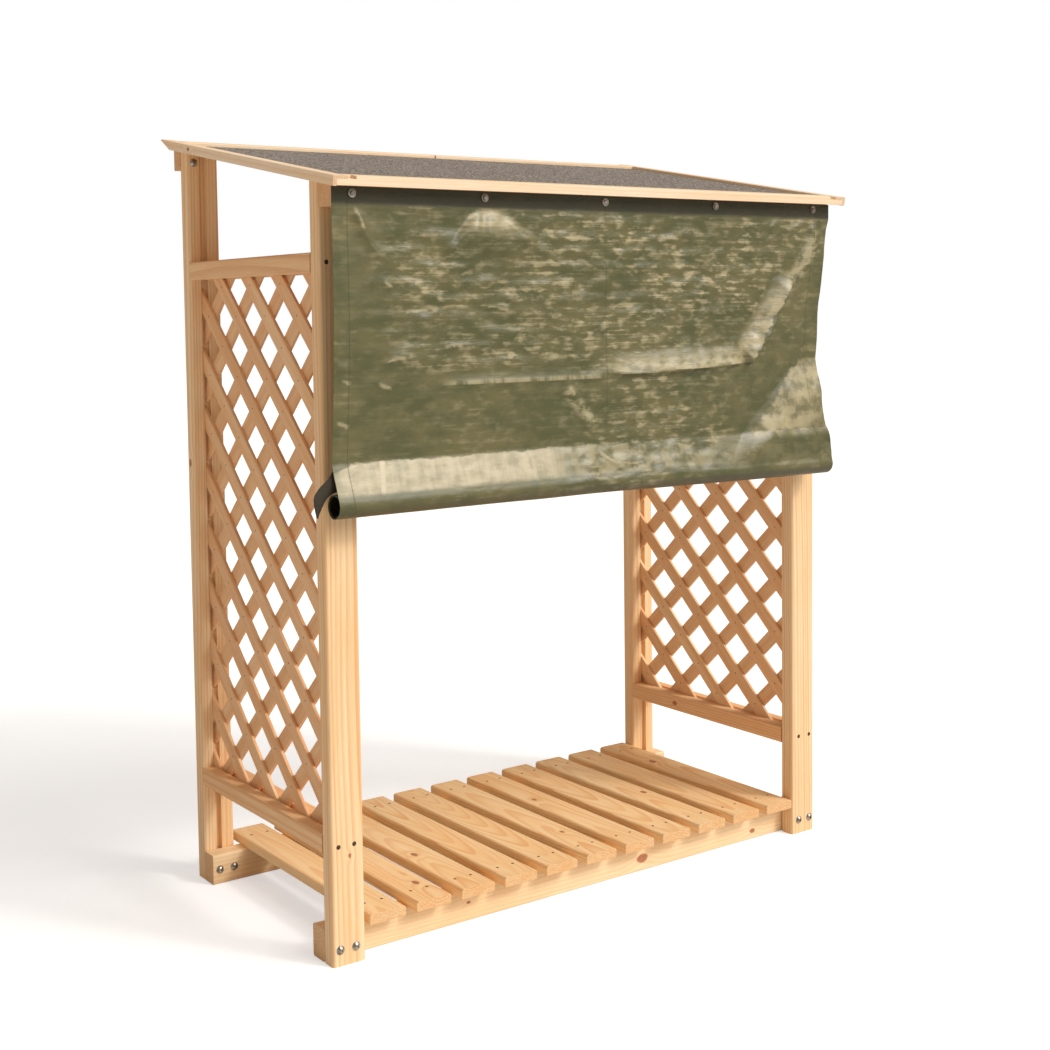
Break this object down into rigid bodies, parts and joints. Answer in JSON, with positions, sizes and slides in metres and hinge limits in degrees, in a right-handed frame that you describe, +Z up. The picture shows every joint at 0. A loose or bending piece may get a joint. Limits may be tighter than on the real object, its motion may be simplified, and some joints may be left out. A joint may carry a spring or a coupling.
{
  "type": "log store",
  "caption": "Open-fronted softwood log store with lattice sides, slatted floor, felted mono-pitch roof and a roll-up fabric front cover.",
  "frame": {"origin": "on the ground, under the middle of the whole part's box", "axes": "+X runs left to right along the open front, +Y runs from the front to the back, +Z is up"},
  "size_m": [1.3448, 0.734, 1.5831],
  "materials": {
    "planed_softwood": "planed, dipped a pale honey colour",
    "pale_softwood_trim": "planed, paler than the frame",
    "roof_sheathing": "plain board",
    "mineral_felt": "grey mineral-faced roofing felt",
    "olive_cover_sheet": "glossy coated sheet, olive green",
    "zinc_plated_steel": "bright zinc plate"
  },
  "bodies": {
    "root": {"front_left_post": "planed_softwood", "front_right_post": "planed_softwood", "rear_left_post": "planed_softwood", "rear_right_post": "planed_softwood", "front_bottom_rail": "planed_softwood", "rear_bottom_rail": "planed_softwood", "front_top_rail": "planed_softwood", "rear_top_rail": "planed_softwood", "left_panel_top_rail": "planed_softwood", "left_panel_bottom_rail": "planed_softwood", "right_panel_top_rail": "planed_softwood", "right_panel_bottom_rail": "planed_softwood", "left_lattice": "planed_softwood", "right_lattice": "planed_softwood", "floor_slat_01": "planed_softwood", "floor_slat_02": "planed_softwood", "floor_slat_03": "planed_softwood", "floor_slat_04": "planed_softwood", "floor_slat_05": "planed_softwood", "floor_slat_06": "planed_softwood", "floor_slat_07": "planed_softwood", "floor_slat_08": "planed_softwood", "floor_slat_09": "planed_softwood", "floor_slat_10": "planed_softwood", "floor_slat_11": "planed_softwood", "front_roof_trim": "pale_softwood_trim", "left_roof_trim": "pale_softwood_trim", "right_roof_trim": "pale_softwood_trim", "rear_left_roof_trim": "pale_softwood_trim", "rear_right_roof_trim": "pale_softwood_trim", "roof_board": "roof_sheathing", "roof_felt": "mineral_felt", "cover_sheet": "olive_cover_sheet", "cover_roll": "olive_cover_sheet", "cover_strap": "olive_cover_sheet", "foot_bolts": "zinc_plated_steel", "top_rail_bolts": "zinc_plated_steel", "panel_screws": "zinc_plated_steel", "slat_nails": "zinc_plated_steel", "cover_screws": "zinc_plated_steel"}
  },
  "joints": []
}
